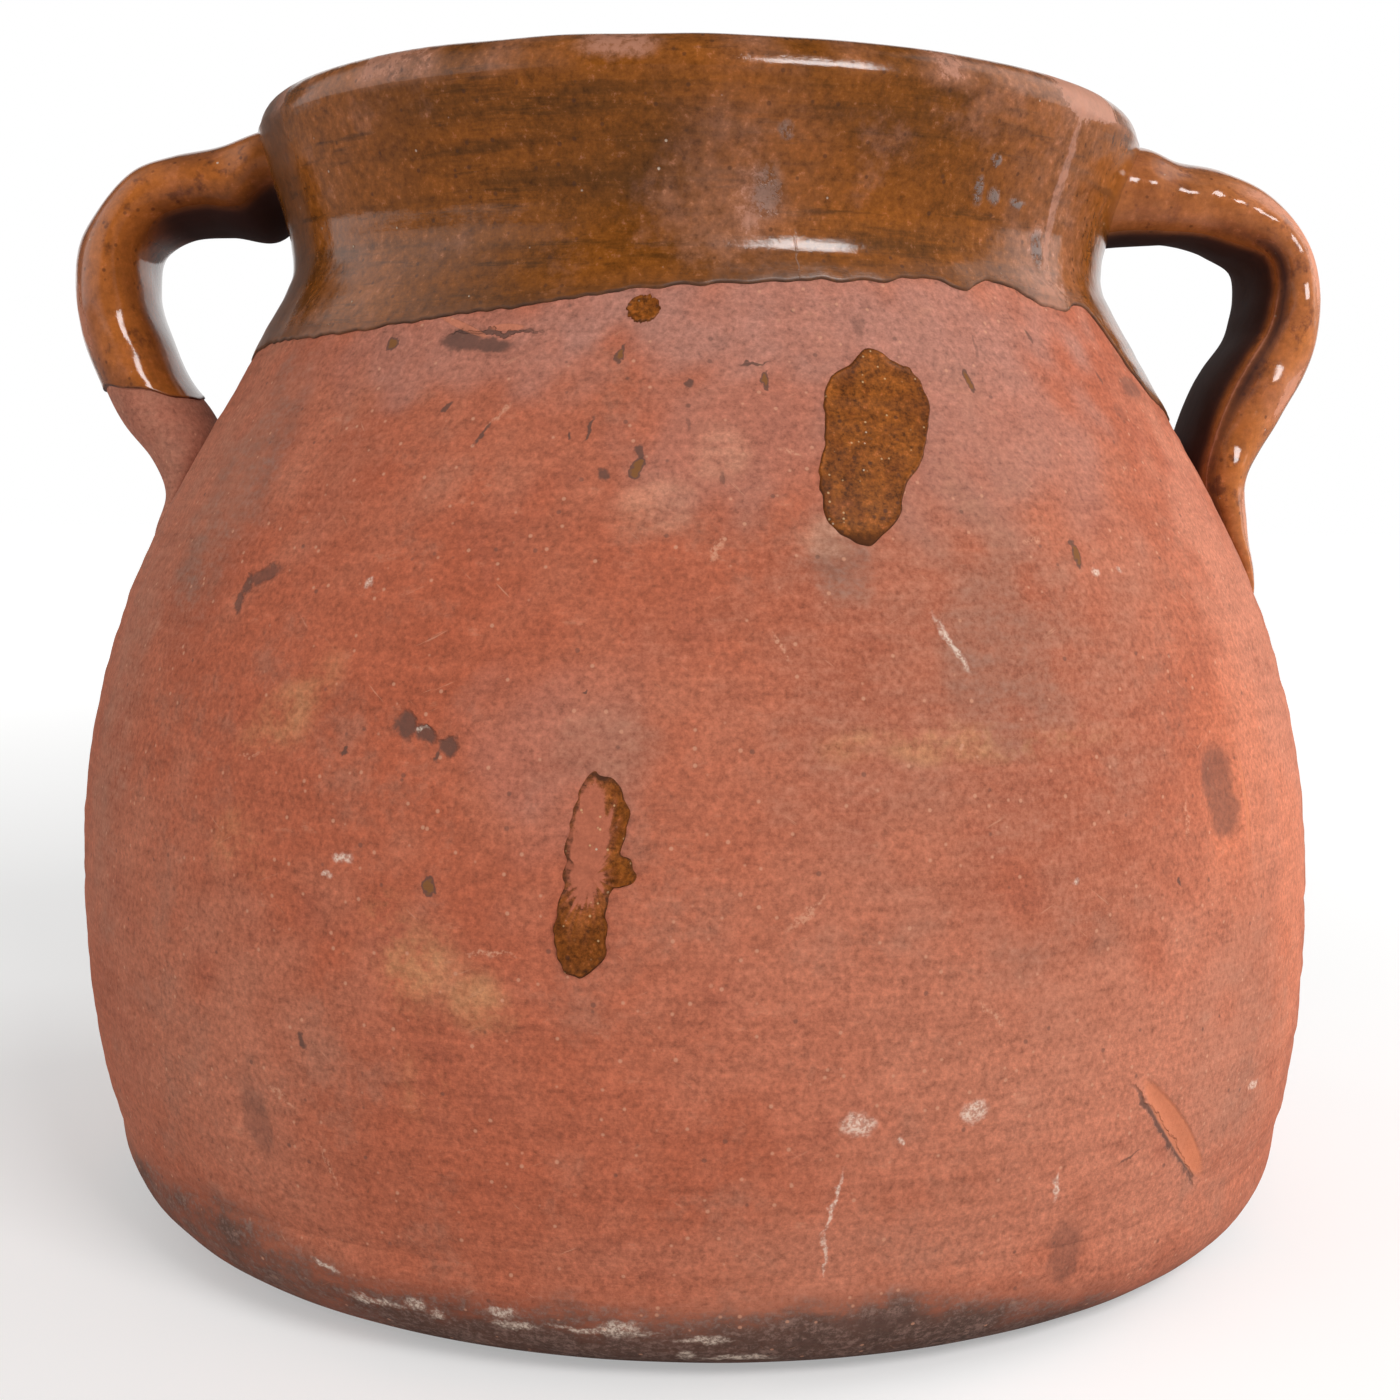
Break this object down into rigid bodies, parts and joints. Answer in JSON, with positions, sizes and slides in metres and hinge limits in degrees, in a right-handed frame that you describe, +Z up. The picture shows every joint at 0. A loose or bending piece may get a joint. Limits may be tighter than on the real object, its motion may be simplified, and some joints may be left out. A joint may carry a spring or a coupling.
{
  "type": "terracotta cooking pot",
  "caption": "Wide-bellied terracotta cooking pot with a flared glazed neck, strap handles on both sides and honey-brown glaze splashes on the bare clay.",
  "frame": {"origin": "middle of the underside, on the surface that the pot stands on", "axes": "+Z up through the mouth, +X towards the fully glazed handle, -Y towards the side with the glaze splashes"},
  "size_m": [0.2894, 0.284, 0.2478],
  "materials": {
    "clay": "bare fired terracotta, matt, with fine throwing lines",
    "scorched_clay": "bare fired terracotta, smoked and scuffed",
    "neck_glaze": "glossy honey-brown glaze with olive streaks",
    "handle_glaze": "glossy amber glaze over orange clay",
    "splash_glaze": "thin speckled brown glaze"
  },
  "bodies": {
    "root": {"base_dish": "scorched_clay", "belly_wall": "clay", "neck_collar": "clay", "left_handle": "clay", "right_handle": "clay", "inner_glaze": "neck_glaze", "collar_glaze": "neck_glaze", "left_handle_glaze": "handle_glaze", "right_handle_glaze": "handle_glaze", "large_splash": "splash_glaze", "scar_glaze": "splash_glaze", "round_splash": "splash_glaze"}
  },
  "joints": []
}
